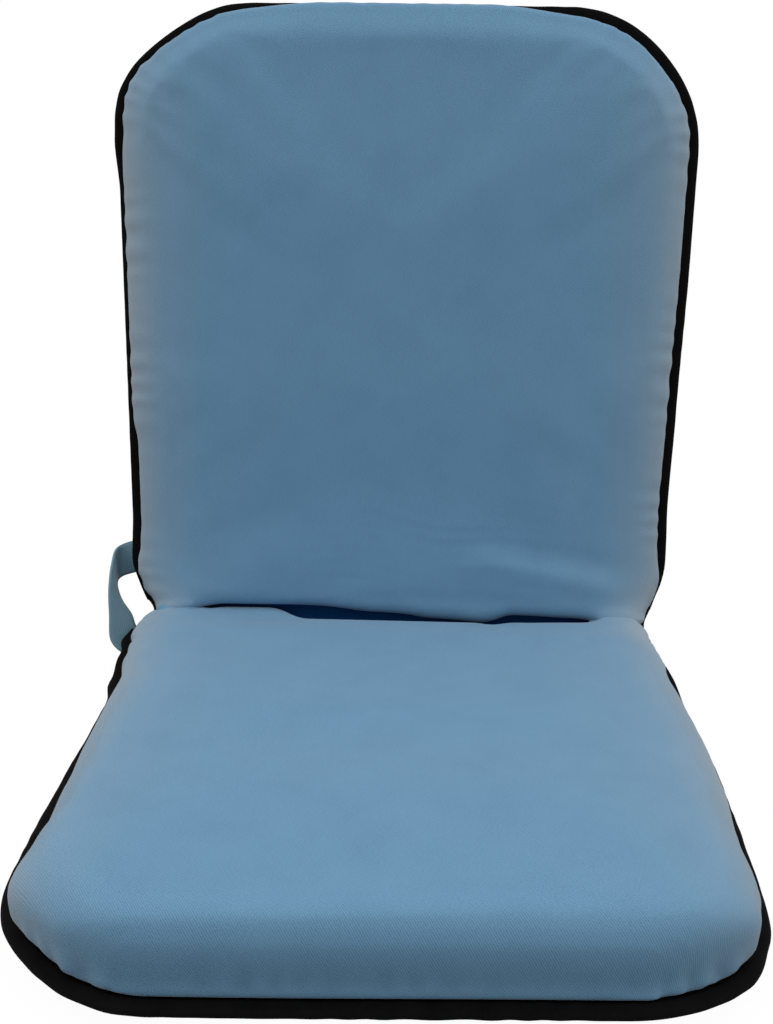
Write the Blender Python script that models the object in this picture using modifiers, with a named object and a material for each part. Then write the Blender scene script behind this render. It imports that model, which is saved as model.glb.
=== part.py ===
"""Folding floor lounge chair, in metres, +Z up, facing -Y, its origin at the middle of the seat's underside.

Two padded panels, seat and back, turn on a pair of ratchet hinges. Each panel is a U-bent steel tube with a
cross tube, a foam pad in front of it, a front and a rear cover, and a binding folded over the seam of the two.
A panel is modelled in its own frame: u across, v away from the hinge axis, w up from the panel's outer face.
"""

import math

import bmesh
import bpy
from mathutils import Matrix, Quaternion, Vector

# Panels
PANEL_WIDTH = 0.430
SEAT_LENGTH = 0.400
BACK_LENGTH = 0.450
CORNER_RADIUS = 0.098
PAD_THICKNESS = 0.056
SIDE_ROUNDING = 0.048
UNDERSIDE_ROUNDING = 0.016
SEAM_HEIGHT = 0.016
SEAM_RISE = 0.020
WAIST_DRAW = 0.016
SEAT_WAIST_LENGTH = 0.080
BACK_WAIST_LENGTH = 0.045

# Hinge axis and fold, with angles in degrees
HINGE_HEIGHT = 0.040
RECLINE = 12.0
FOLD_LEFT_OPEN = 12.0
CREASE_HALF_GAP = 0.009

# Cloth, binding and strap
FABRIC = 0.0012
FLANGE_WIDTH = 0.011
BINDING = 0.0012
BINDING_LEG = 0.009
STRAP_WIDTH = 0.025
STRAP_THICKNESS = 0.0016
STRAP_BACK_AT = 0.051
STRAP_SEAT_AT = 0.036
STRAP_BULGE = 0.024

# Clearances
CLEARANCE = 0.0003
RUNNING_CLEARANCE = 0.0002
FOAM_CLEARANCE = 0.0012

# Frame tubes
TUBE_DIAMETER = 0.016
TUBE_WALL = 0.0012
TUBE_INSET = 0.028
TUBE_START = 0.045
CROSS_TUBE_DIAMETER = 0.014
CROSS_TUBE_AT = 0.110

# Ratchet hinges
RATCHET_RADIUS = 0.014
TOOTH_DEPTH = 0.003
RATCHET_STEPS = 5
RATCHET_THICKNESS = 0.004
CHEEK_RADIUS = 0.0135
CHEEK_THICKNESS = 0.0018
NECK_WIDTH = 0.012
CHEEK_NECK_WIDTH = 0.016
RATCHET_TANG_WIDTH = 0.0105
CHEEK_TANG_WIDTH = 0.0075
TANG_DEPTH = 0.045
NECK_REACH = 0.034
PIVOT_RADIUS = 0.004
PIVOT_HEAD_RADIUS = 0.007
PIVOT_HEAD = 0.002
RIVET_RADIUS = 0.002
RIVET_HEAD_RADIUS = 0.0036
RIVET_HEAD = 0.0016
FIRST_RIVET = 0.010
RIVET_PITCH = 0.020

# Pawls and their springs, with angles in degrees
PAWL_PIN_REACH = 0.025
PAWL_PIN_RADIUS = 0.0024
PAWL_HUB_RADIUS = 0.0046
PAWL_NIB_HALF = 0.0005
PAWL_LIFT = 12.0
SPRING_THICKNESS = 0.0008
SPRING_WIDTH = 0.0036

# Sizes that follow
SEAM_HALF_WIDTH = PANEL_WIDTH / 2 - FLANGE_WIDTH
SEAM_RADIUS = CORNER_RADIUS - FLANGE_WIDTH
SEAM_GAP = 2 * CLEARANCE
SEAM_HALF = SEAM_GAP / 2 + FABRIC
BINDING_HALF = SEAM_HALF + 1.5 * CLEARANCE + BINDING
BRIM = FLANGE_WIDTH - BINDING - 3 * CLEARANCE
TUBE_RADIUS = TUBE_DIAMETER / 2
TUBE_HEIGHT = FABRIC + CLEARANCE + TUBE_RADIUS
TUBE_DROP = TUBE_HEIGHT - HINGE_HEIGHT
FOAM_UNDERSIDE = TUBE_HEIGHT + TUBE_RADIUS + CLEARANCE
HINGE_X = SEAM_HALF_WIDTH - TUBE_INSET
NECK_ANGLE = math.degrees(math.atan2(-TUBE_DROP, NECK_REACH))
MID_TOOTH = RATCHET_RADIUS - TOOTH_DEPTH / 2
PAWL_NIB_ANGLE = NECK_ANGLE + math.degrees(math.acos(MID_TOOTH / PAWL_PIN_REACH))
PAWL_PIN_AT = tuple(Vector((NECK_REACH, TUBE_DROP)).normalized() * PAWL_PIN_REACH)
SLEEVE_INNER = RATCHET_RADIUS + 0.0008
HINGE_END = SLEEVE_INNER + FABRIC + 1.5 * CLEARANCE
CHEEK_OFFSET = RATCHET_THICKNESS / 2 + CLEARANCE + CHEEK_THICKNESS / 2
HINGE_HALF_STACK = CHEEK_OFFSET + CHEEK_THICKNESS / 2
POCKET_HALF = HINGE_HALF_STACK + CLEARANCE + PIVOT_HEAD + 0.007
WAIST_HALF_WIDTH = SEAM_HALF_WIDTH - WAIST_DRAW
UPRIGHT = 90 + RECLINE
TOOTH_PITCH = (180 - UPRIGHT) / RATCHET_STEPS
HINGE_POINT = Vector((0, SEAT_LENGTH / 2, HINGE_HEIGHT))

# Where the grid of a cover has its lines: across as shares of the half width, along as shares of the
# straight side, and round the far corners in degrees
POCKET_SHARE = (HINGE_X - POCKET_HALF) / WAIST_HALF_WIDTH
CREASE_SHARE = POCKET_SHARE - 0.05
HALF_COLUMNS = [0.35 * CREASE_SHARE, 0.7 * CREASE_SHARE, CREASE_SHARE, POCKET_SHARE, 0.93, 0.975, 1]
COLUMNS = [-share for share in reversed(HALF_COLUMNS)] + [0] + HALF_COLUMNS
SIDE_ROWS = [0, 0.07, 0.16, 0.28, 0.5, 0.75]
CORNER_ROWS = [0, 15, 30, 45, 60, 75, 90]
ROWS = [("side", share) for share in SIDE_ROWS] + [("corner", angle) for angle in CORNER_ROWS]

# Lines along the strap, as shares of its width from its middle
STRAP_LINES = [-0.5, -0.25, 0, 0.25, 0.5]

BLUE_CLOTH = ("blue_cloth", (0.115, 0.305, 0.500), 0.85, 0.0)
BLACK_CLOTH = ("black_cloth", (0.012, 0.012, 0.014), 0.85, 0.0)
BLACK_BINDING = ("black_binding", (0.008, 0.008, 0.009), 0.75, 0.0)
BLUE_WEBBING = ("blue_webbing", (0.110, 0.290, 0.430), 0.80, 0.0)
FOAM = ("foam", (0.800, 0.760, 0.640), 0.95, 0.0)
TUBE_STEEL = ("tube_steel", (0.040, 0.040, 0.042), 0.45, 0.0)
HINGE_STEEL = ("hinge_steel", (0.550, 0.550, 0.540), 0.35, 1.0)


def smooth_step(share):
    share = min(max(share, 0), 1)
    return share * share * (3 - 2 * share)


def polar(radius, degrees, centre=(0, 0)):
    angle = math.radians(degrees)
    return (centre[0] + radius * math.cos(angle), centre[1] + radius * math.sin(angle))


def circle(radius, centre=(0, 0), sides=20):
    return [polar(radius, 360 * i / sides, centre) for i in range(sides)]


class Panel:
    """The form of one padded panel, from the hinge axis to its far edge."""

    def __init__(self, name, length, waist_length):
        self.name = name
        self.length = length - FLANGE_WIDTH
        self.waist_length = waist_length
        self.frame = None

    def waist(self, v):
        """1 at the hinge axis, falling to 0 where the side runs straight."""
        return smooth_step(1 - v / self.waist_length)

    def half_width(self, v):
        return SEAM_HALF_WIDTH - WAIST_DRAW * self.waist(v)

    def seam(self, v):
        """The seam's height, which climbs towards the hinge axis at the waist."""
        return SEAM_HEIGHT + SEAM_RISE * self.waist(v)

    def seam_slope(self, v):
        step = 0.001
        return abs(self.seam(v + step) - self.seam(v - step)) / (2 * step)

    def edge_distance(self, u, v):
        side = self.half_width(v) - abs(u)
        far = self.length - v
        if side >= SEAM_RADIUS or far >= SEAM_RADIUS:
            return max(min(side, far), 0)
        return max(SEAM_RADIUS - math.hypot(SEAM_RADIUS - side, SEAM_RADIUS - far), 0)

    def pad_height(self, v):
        """The pad's full height at v, thinned towards the hinge so that the two pads fold face to face."""
        wedge = HINGE_HEIGHT + v * math.tan(math.radians(FOLD_LEFT_OPEN / 2)) - 2 * CLEARANCE
        blend = 0.002
        low = min(wedge, PAD_THICKNESS)
        high = max(wedge, PAD_THICKNESS)
        return low - blend * math.log(1 + math.exp((low - high) / blend))

    def top(self, u, v, inset=0):
        """The front cover's outer surface, or one that lies inset below and inside it."""
        share = min(max(self.edge_distance(u, v) - inset, 0) / SIDE_ROUNDING, 1)
        rise = math.sqrt(1 - (1 - share) ** 2)
        foot = self.seam(v) + SEAM_HALF
        return foot + (self.pad_height(v) - foot) * rise - inset

    def underside(self, u, v):
        """The rear cover's outer surface: flat, and rounded up to the seam."""
        share = min(self.edge_distance(u, v) / UNDERSIDE_ROUNDING, 1)
        return (self.seam(v) - SEAM_HALF) * (1 - math.sqrt(1 - (1 - share) ** 2))

    def plan(self, share, row, start, inset=0, out=0):
        """A grid point in plan, in from the seam by inset or out from it by out."""
        kind, value = row
        radius = SEAM_RADIUS - inset
        corner_v = self.length - SEAM_RADIUS
        side = math.copysign(1, share)
        if kind == "side":
            v = start + value * (corner_v - start)
            return (share * (self.half_width(v) - inset) + side * out, v)
        angle = math.radians(value)
        half = self.half_width(corner_v) - inset - radius * (1 - math.cos(angle))
        v = corner_v + radius * math.sin(angle) + out * math.sin(angle)
        return (share * half + side * out * math.cos(angle), v)

    def seam_path(self, out):
        """Plan points round the seam, out from it, from one hinge end to the other."""
        left = [self.plan(-1, row, HINGE_END, out=out) for row in ROWS]
        far = [self.plan(share, ROWS[-1], HINGE_END, out=out) for share in COLUMNS[1:-1]]
        far = [(u, self.length + out) for u, _ in far]
        right = [(-u, v) for u, v in reversed(left)]
        return left + far + right


def collection(name):
    made = bpy.data.collections.new(name)
    bpy.context.scene.collection.children.link(made)
    return made


def material(finish):
    name, colour, roughness, metallic = finish
    made = bpy.data.materials.get(name)
    if made is None:
        made = bpy.data.materials.new(name)
        made.use_nodes = True
        shader = made.node_tree.nodes["Principled BSDF"]
        shader.inputs["Base Color"].default_value = (*colour, 1)
        shader.inputs["Roughness"].default_value = roughness
        shader.inputs["Metallic"].default_value = metallic
    return made


def add_part(name, data, finish, parent, smooth=40):
    """Puts a mesh or a curve in the chair's collection, carried by parent."""
    part = bpy.data.objects.new(name, data)
    CHAIR.objects.link(part)
    part.parent = parent
    data.materials.append(material(finish))
    if smooth and part.type == "MESH":
        data.shade_smooth()
        data.set_sharp_from_angle(angle=math.radians(smooth))
    return part


def frame_empty(name, location, rotation, parent=None):
    empty = bpy.data.objects.new(name, None)
    empty.location = location
    empty.rotation_euler = rotation
    empty.parent = parent
    CHAIR.objects.link(empty)
    return empty


def grid_mesh(name, columns, rows, point):
    """A grid of columns by rows vertices, each set where point(column, row) says."""
    grid = bmesh.new()
    bmesh.ops.create_grid(grid, x_segments=columns - 1, y_segments=rows - 1, size=1)
    for vertex in grid.verts:
        column = round((vertex.co.x + 1) / 2 * (columns - 1))
        row = round((vertex.co.y + 1) / 2 * (rows - 1))
        vertex.co = point(column, row)
    bmesh.ops.remove_doubles(grid, verts=grid.verts, dist=0.00001)
    bmesh.ops.dissolve_degenerate(grid, edges=grid.edges, dist=0.00001)
    mesh = bpy.data.meshes.new(name)
    grid.to_mesh(mesh)
    grid.free()
    return mesh


def sheet(name, columns, rows, point, thickness, finish, parent):
    """A sheet whose outer face goes through the grid's points, thickened inwards."""
    part = add_part(name, grid_mesh(name, columns, rows, point), finish, parent)
    wall = part.modifiers.new("thickness", "SOLIDIFY")
    wall.thickness = thickness
    wall.offset = -1
    wall.use_even_offset = True
    return part


def plate(name, outline, holes, thickness, finish, parent, u):
    """A flat plate across the hinge axis, cut from sheet, with its outline in (v, w from the axis)."""
    curve = bpy.data.curves.new(name, "CURVE")
    curve.dimensions = "2D"
    curve.fill_mode = "BOTH"
    curve.extrude = thickness / 2
    for points in [outline] + holes:
        spline = curve.splines.new("POLY")
        spline.points.add(len(points) - 1)
        for spot, (x, y) in zip(spline.points, points):
            spot.co = (x, y, 0, 1)
        spline.use_cyclic_u = True
    part = add_part(name, curve, finish, parent)
    part.location = (u, 0, 0)
    part.rotation_euler = (math.pi / 2, 0, math.pi / 2)
    return part


def rivet(name, radius, head_radius, head, grip, finish, parent, centre):
    """A headed rivet along u, turned, with its heads just off the two faces that it grips."""
    inner = grip / 2 + CLEARANCE
    outer = inner + head
    profile = [(0, outer), (head_radius, outer), (head_radius, inner), (radius, inner)]
    profile += [(r, -height) for r, height in reversed(profile)]
    mesh = bpy.data.meshes.new(name)
    points = [(r, 0, height) for r, height in profile]
    mesh.from_pydata(points, [(i, i + 1) for i in range(len(points) - 1)], [])
    part = add_part(name, mesh, finish, parent, smooth=0)
    part.location = centre
    part.rotation_euler = (0, math.pi / 2, 0)
    turn = part.modifiers.new("turn", "SCREW")
    turn.steps = 14
    turn.render_steps = 14
    turn.use_merge_vertices = True
    turn.merge_threshold = 0.00001
    turn.use_smooth_shade = False
    return part


def tube(name, path, radius, parent):
    """An open-ended steel tube along a path in the panel's frame."""
    curve = bpy.data.curves.new(name + "_path", "CURVE")
    curve.dimensions = "3D"
    curve.bevel_depth = radius
    curve.bevel_resolution = 4
    spline = curve.splines.new("POLY")
    spline.points.add(len(path) - 1)
    for spot, point in zip(spline.points, path):
        spot.co = (*point, 1)
    guide = bpy.data.objects.new(name + "_path", curve)
    CHAIR.objects.link(guide)
    bpy.context.view_layer.update()
    evaluated = guide.evaluated_get(bpy.context.evaluated_depsgraph_get())
    mesh = bpy.data.meshes.new_from_object(evaluated)
    bpy.data.objects.remove(guide)
    part = add_part(name, mesh, TUBE_STEEL, parent)
    wall = part.modifiers.new("wall", "SOLIDIFY")
    wall.thickness = TUBE_WALL
    wall.offset = -1
    return part


def drill_across(part, parent, v, w, radius):
    """Cuts a hole along u through both legs of a frame tube."""
    mesh = bpy.data.meshes.new("drill")
    drill = bmesh.new()
    bmesh.ops.create_cone(
        drill, cap_ends=True, segments=12, radius1=radius, radius2=radius, depth=PANEL_WIDTH
    )
    drill.to_mesh(mesh)
    drill.free()
    cutter = bpy.data.objects.new(part.name + "_drill", mesh)
    CUTTERS.objects.link(cutter)
    cutter.parent = parent
    cutter.location = (0, v, w)
    cutter.rotation_euler = (0, math.pi / 2, 0)
    cutter.hide_render = True
    cutter.display_type = "WIRE"
    hole = part.modifiers.new("rivet_hole", "BOOLEAN")
    hole.operation = "DIFFERENCE"
    hole.object = cutter


def start_of(share, at_crease, at_hinge):
    """Where a row of the grid starts: close to the crease, but clear of the hinges at its ends."""
    return at_crease if abs(share) < POCKET_SHARE - 0.01 else at_hinge


def cover(panel, name, finish, front):
    """One cover of a panel, with the brim that is sewn into the seam on three sides."""
    last_column = len(COLUMNS) + 1
    last_row = len(ROWS)
    flip = 1 if front else -1

    def point(column, row):
        share = flip * COLUMNS[min(max(column - 1, 0), len(COLUMNS) - 1)]
        start = start_of(share, CREASE_HALF_GAP, HINGE_END)
        at_side = column in (0, last_column)
        out = BRIM if at_side or row == last_row else 0
        u, v = panel.plan(share, ROWS[min(row, len(ROWS) - 1)], start, out=out if at_side else 0)
        if row == last_row and not at_side:
            v += out
        if out:
            w = panel.seam(v) + flip * SEAM_HALF
        elif front:
            w = panel.top(u, v)
        else:
            w = panel.underside(u, v)
        return (u, v, w - HINGE_HEIGHT)

    return sheet(name, last_column + 1, last_row + 1, point, FABRIC, finish, panel.frame)


def binding(panel):
    """The tape folded over the seam: a channel that opens towards the pad."""
    inner = panel.seam_path(FLANGE_WIDTH - BINDING_LEG)
    outer = panel.seam_path(FLANGE_WIDTH)

    def point(column, row):
        u, v = (inner if column in (0, 3) else outer)[row]
        seam = panel.seam(v)
        half = BINDING_HALF + 1.5 * BINDING * panel.seam_slope(v)
        return (u, v, seam + (-half if column < 2 else half) - HINGE_HEIGHT)

    return sheet(panel.name + "_binding", 4, len(inner), point, BINDING, BLACK_BINDING, panel.frame)


def foam(panel):
    """The pad: crowned under its cover, flat where it lies on the frame tubes."""
    inset = FABRIC + FOAM_CLEARANCE
    hinge_start = TUBE_START + 0.010

    def point(column, row):
        share = COLUMNS[column]
        start = start_of(share, CREASE_HALF_GAP + inset, hinge_start)
        u, v = panel.plan(share, ROWS[row], start, inset=inset + 0.003)
        return (u, v, panel.top(u, v, inset) - HINGE_HEIGHT)

    mesh = grid_mesh(panel.name + "_foam", len(COLUMNS), len(ROWS), point)
    pad = bmesh.new()
    pad.from_mesh(mesh)
    grown = bmesh.ops.extrude_face_region(pad, geom=pad.faces[:])["geom"]
    for vertex in [item for item in grown if isinstance(item, bmesh.types.BMVert)]:
        vertex.co.z = FOAM_UNDERSIDE - HINGE_HEIGHT
    bmesh.ops.recalc_face_normals(pad, faces=pad.faces)
    pad.to_mesh(mesh)
    pad.free()
    return add_part(panel.name + "_foam", mesh, FOAM, panel.frame)


def frame_tubes(panel):
    """The U-bent frame tube, drilled for its rivets, and the cross tube between its legs."""
    far = panel.length - TUBE_INSET
    bend = SEAM_RADIUS - TUBE_INSET
    corner = (HINGE_X - bend, far - bend)
    arc = [polar(bend, 90 * i / 6, corner) for i in range(7)]
    half = [(HINGE_X, TUBE_START)] + arc
    path = half + [(-u, v) for u, v in reversed(half)]
    made = tube(panel.name + "_frame_tube", [(u, v, TUBE_DROP) for u, v in path], TUBE_RADIUS, panel.frame)
    for v in rivet_places():
        drill_across(made, panel.frame, v, TUBE_DROP, RIVET_RADIUS + RUNNING_CLEARANCE)
    reach = HINGE_X - TUBE_RADIUS - CLEARANCE
    ends = [(side * reach, CROSS_TUBE_AT, TUBE_DROP) for side in (-1, 1)]
    tube(panel.name + "_cross_tube", ends, CROSS_TUBE_DIAMETER / 2, panel.frame)


def rivet_places():
    return [TUBE_START + FIRST_RIVET + i * RIVET_PITCH for i in range(2)]


def hinge_arm(neck_width, tang_width, disc_radius_above, disc_radius_below):
    """The outline of a hinge plate's arm, and the angles at which its neck leaves the disc."""
    reach = Vector((NECK_REACH, TUBE_DROP)).normalized()
    across = Vector((-reach.y, reach.x)) * neck_width / 2
    above = across + reach * math.sqrt(disc_radius_above**2 - (neck_width / 2) ** 2)
    below = -across + reach * math.sqrt(disc_radius_below**2 - (neck_width / 2) ** 2)
    tang_top = TUBE_DROP + tang_width / 2
    tang_foot = TUBE_DROP - tang_width / 2
    upper = across + reach * ((tang_top - across.y) / reach.y)
    lower = -across + reach * ((tang_foot + across.y) / reach.y)
    tip = TUBE_START + TANG_DEPTH
    arm = [tuple(lower), (tip, tang_foot), (tip, tang_top), tuple(upper)]
    first = math.degrees(math.atan2(above.y, above.x))
    last = math.degrees(math.atan2(below.y, below.x)) + 360
    return arm, first, last


def rivet_holes(radius):
    return [circle(radius, (v, TUBE_DROP), sides=12) for v in rivet_places()]


def ratchet_outline():
    """A toothed disc on its cranked arm: plain where the back folds, toothed where it reclines."""
    root = RATCHET_RADIUS - TOOTH_DEPTH
    arm, first, last = hinge_arm(NECK_WIDTH, RATCHET_TANG_WIDTH, root, RATCHET_RADIUS)
    notch_half = math.degrees((PAWL_NIB_HALF + CLEARANCE) / root)
    crest = 1.5
    notches = [UPRIGHT + PAWL_NIB_ANGLE + i * TOOTH_PITCH for i in range(RATCHET_STEPS + 1)]
    plain = [polar(root, first + (notches[0] - notch_half - first) * i / 14) for i in range(15)]
    teeth = []
    for notch in notches:
        teeth += [polar(root, notch - notch_half), polar(root, notch + notch_half)]
        teeth += [polar(RATCHET_RADIUS, notch + notch_half), polar(RATCHET_RADIUS, notch + notch_half + crest)]
    end = notches[-1] + notch_half + crest
    rim = [polar(RATCHET_RADIUS, end + (last - end) * i / 4) for i in range(1, 5)]
    return arm + plain[:-1] + teeth + rim


def cheek_outline():
    arm, first, last = hinge_arm(CHEEK_NECK_WIDTH, CHEEK_TANG_WIDTH, CHEEK_RADIUS, CHEEK_RADIUS)
    disc = [polar(CHEEK_RADIUS, first + (last - first) * i / 22) for i in range(23)]
    return arm + disc


def pawl_outline():
    """The pawl as it rests in a notch: a wedge-shaped nib on an arm from its hub."""
    tip = RATCHET_RADIUS - TOOTH_DEPTH + CLEARANCE
    shoulder = RATCHET_RADIUS + 0.0007
    nib = Vector(polar(1, -PAWL_NIB_ANGLE))
    side = Vector((-nib.y, nib.x))
    steep_tip = nib * tip - side * PAWL_NIB_HALF
    slope_tip = nib * tip + side * PAWL_NIB_HALF
    slope_shoulder = nib * shoulder + side * (PAWL_NIB_HALF + 0.0015)
    steep_shoulder = nib * shoulder - side * (PAWL_NIB_HALF + 0.0001)
    pin = Vector(PAWL_PIN_AT)
    arm = (nib * shoulder - pin).normalized()
    facing = math.degrees(math.atan2(arm.y, arm.x))
    hub = [polar(PAWL_HUB_RADIUS, facing - 90 - 180 * i / 10, PAWL_PIN_AT) for i in range(11)]
    outline = [steep_shoulder, steep_tip, slope_tip, slope_shoulder] + hub
    return [tuple(point) for point in outline]


def lifted(points):
    """Points of the pawl turned about its pin, out of the notch and clear of the teeth."""
    turn = Matrix.Rotation(math.radians(PAWL_LIFT), 2)
    pin = Vector(PAWL_PIN_AT)
    return [tuple(turn @ (Vector(point) - pin) + pin) for point in points]


def pawl_spring(name, parent, u):
    """A leaf spring: an eye on the first tube rivet, and a blade that lies behind the lifted pawl."""
    eye_radius = RIVET_RADIUS + RUNNING_CLEARANCE + SPRING_THICKNESS
    centre = (rivet_places()[0], TUBE_DROP)
    eye = [polar(eye_radius, 90 - 30 * i, centre) for i in range(10)]
    rear = min(y for _, y in lifted(pawl_outline()))
    blade_height = rear - CLEARANCE
    pin_v, pin_w = PAWL_PIN_AT
    bend = (pin_v + 2 * PAWL_HUB_RADIUS, blade_height)
    blade = [bend, (pin_v, blade_height), (0, blade_height)]
    path = list(reversed(eye)) + blade

    def point(column, row):
        v, w = path[row]
        return (u + SPRING_WIDTH * (0.5 - column), v, w)

    return sheet(name, 2, len(path), point, SPRING_THICKNESS, HINGE_STEEL, parent)


def hinge(side, u):
    """One ratchet hinge at u: its toothed plate is the seat's, and its cheeks and pawl are the back's."""
    bore = [circle(PIVOT_RADIUS + RUNNING_CLEARANCE)]
    holes = rivet_holes(RIVET_RADIUS + RUNNING_CLEARANCE)
    plate(
        f"ratchet_plate_{side}", ratchet_outline(), bore + holes, RATCHET_THICKNESS, HINGE_STEEL, SEAT.frame, -u
    )
    pin_hole = [circle(PAWL_PIN_RADIUS + RUNNING_CLEARANCE, PAWL_PIN_AT, sides=14)]
    outward = math.copysign(1, u)
    for where, offset in (("outer", outward * CHEEK_OFFSET), ("inner", -outward * CHEEK_OFFSET)):
        name = f"hinge_{where}_cheek_{side}"
        cheek_holes = bore + pin_hole + holes
        plate(name, cheek_outline(), cheek_holes, CHEEK_THICKNESS, HINGE_STEEL, BACK.frame, u + offset)
    stack = 2 * HINGE_HALF_STACK
    rivet(
        f"pivot_rivet_{side}",
        PIVOT_RADIUS,
        PIVOT_HEAD_RADIUS,
        PIVOT_HEAD,
        stack,
        HINGE_STEEL,
        BACK.frame,
        (u, 0, 0),
    )
    pin_place = (u, *PAWL_PIN_AT)
    rivet(
        f"pawl_pin_{side}",
        PAWL_PIN_RADIUS,
        RIVET_HEAD_RADIUS,
        RIVET_HEAD,
        stack,
        HINGE_STEEL,
        BACK.frame,
        pin_place,
    )
    pivot = frame_empty(f"pawl_pivot_{side}", pin_place, (0, 0, 0), BACK.frame)
    about_pin = [(v - PAWL_PIN_AT[0], w - PAWL_PIN_AT[1]) for v, w in lifted(pawl_outline())]
    pawl_bore = [circle(PAWL_PIN_RADIUS + RUNNING_CLEARANCE, sides=14)]
    plate(f"pawl_{side}", about_pin, pawl_bore, RATCHET_THICKNESS, HINGE_STEEL, pivot, 0)
    pawl_spring(f"pawl_spring_{side}", BACK.frame, u)
    for panel, across in ((SEAT, -u), (BACK, u)):
        for place, v in zip(("near", "far"), rivet_places()):
            name = f"{panel.name}_rivet_{side}_{place}"
            centre = (across, v, TUBE_DROP)
            rivet(
                name,
                RIVET_RADIUS,
                RIVET_HEAD_RADIUS,
                RIVET_HEAD,
                TUBE_DIAMETER,
                HINGE_STEEL,
                panel.frame,
                centre,
            )


def about_hinge(radius, degrees):
    """A point (y, z) from the hinge axis, its angle counted from the seat's direction up and over."""
    return (-radius * math.cos(math.radians(degrees)), radius * math.sin(math.radians(degrees)))


def arc_sheet(name, start, end, radius, first_u, last_u, finish, steps):
    """A sheet bent round the hinge axis between two angles, where the panels' covers leave a gap."""

    def point(column, row):
        y, z = about_hinge(radius(row / steps), start + (end - start) * row / steps)
        return (last_u if column else first_u, y, z)

    return sheet(name, 2, steps + 1, point, FABRIC, finish, HINGE_FRAME)


def crease_web():
    """The cloth at the bottom of the crease, from under the seat's cover round to the back's."""
    reach = CREASE_SHARE * WAIST_HALF_WIDTH
    radius = CREASE_HALF_GAP - CLEARANCE
    tuck = math.degrees(math.asin((FABRIC + 2 * CLEARANCE) / radius))
    arc_sheet("crease_web", -tuck, UPRIGHT - 360 + tuck, lambda share: radius, -reach, reach, BLUE_CLOTH, 14)


def hinge_covers():
    """The hump of cloth over each hinge, between the ends of the two panels' covers."""
    widest = max(SEAT.half_width(HINGE_END), BACK.half_width(HINGE_END))
    inner = POCKET_SHARE * widest + CLEARANCE
    outer = WAIST_HALF_WIDTH - FABRIC
    overlap = 2
    for name, first, last in (("hinge_cover_left", -outer, -inner), ("hinge_cover_right", inner, outer)):
        radius = SLEEVE_INNER + FABRIC
        arc_sheet(name, -overlap, UPRIGHT + overlap, lambda share: radius, first, last, BLUE_CLOTH, 8)


def rear_web():
    """The cloth round the heel, from the seat's underside to the back's rear, lifted off the floor."""
    drop = HINGE_HEIGHT - FABRIC / 2
    start = CREASE_HALF_GAP - CLEARANCE
    radius = math.hypot(start, drop)
    edge = math.degrees(math.atan2(drop, start))
    lift = 2.5 * FABRIC
    half = WAIST_HALF_WIDTH - UNDERSIDE_ROUNDING / 2
    end = UPRIGHT - 360 + edge

    def heel(share):
        return radius - lift * math.sin(math.pi * share)

    arc_sheet("rear_web", -edge, end, heel, half, -half, BLACK_CLOTH, 10)


def hinge_point_of(panel, u, v, w):
    """A panel's point as (x, y, z) from the middle of the hinge axis."""
    place = panel.frame.matrix_basis @ Vector((u, v, w - HINGE_HEIGHT))
    return place - HINGE_POINT


def bezier(a, b, c, d, share):
    rest = 1 - share
    return a * rest**3 + b * (3 * rest * rest * share) + c * (3 * rest * share * share) + d * share**3


def waist_binding(side, outward):
    """The binding between the ends of the two panels' bindings, bent past the hinge axis."""
    steps = 8
    v = HINGE_END - 3 * CLEARANCE
    seat_end = hinge_point_of(SEAT, -outward * SEAT.half_width(v), v, SEAT.seam(v) + BINDING_HALF)
    back_end = hinge_point_of(BACK, outward * BACK.half_width(v), v, BACK.seam(v) + BINDING_HALF)
    handle = 0.4 * v
    seat_handle = seat_end + Vector((0, handle, 0))
    back_handle = back_end - Vector((0, handle * math.sin(LEAN), handle * math.cos(LEAN)))
    first_out = FLANGE_WIDTH - BINDING_LEG

    def point(column, row):
        share = row / steps
        spot = bezier(seat_end, seat_handle, back_handle, back_end, share)
        half = WAIST_HALF_WIDTH + (abs(spot.x) - WAIST_HALF_WIDTH) * abs(2 * share - 1)
        out = (first_out, FLANGE_WIDTH)[column if outward < 0 else 1 - column]
        return (outward * (half + out), spot.y, spot.z)

    name = f"waist_binding_{side}"
    return sheet(name, 2, steps + 1, point, 2 * BINDING_HALF, BLACK_BINDING, HINGE_FRAME)


def strap_end(panel, side, v):
    """Points across a strap end, along the outer edge of a panel's binding and just under it."""
    ends = []
    for share in STRAP_LINES:
        at = v + share * STRAP_WIDTH
        u = side * (panel.half_width(at) + FLANGE_WIDTH)
        ends.append(hinge_point_of(panel, u, at, panel.seam(at) - BINDING_HALF - FABRIC))
    return ends


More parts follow.
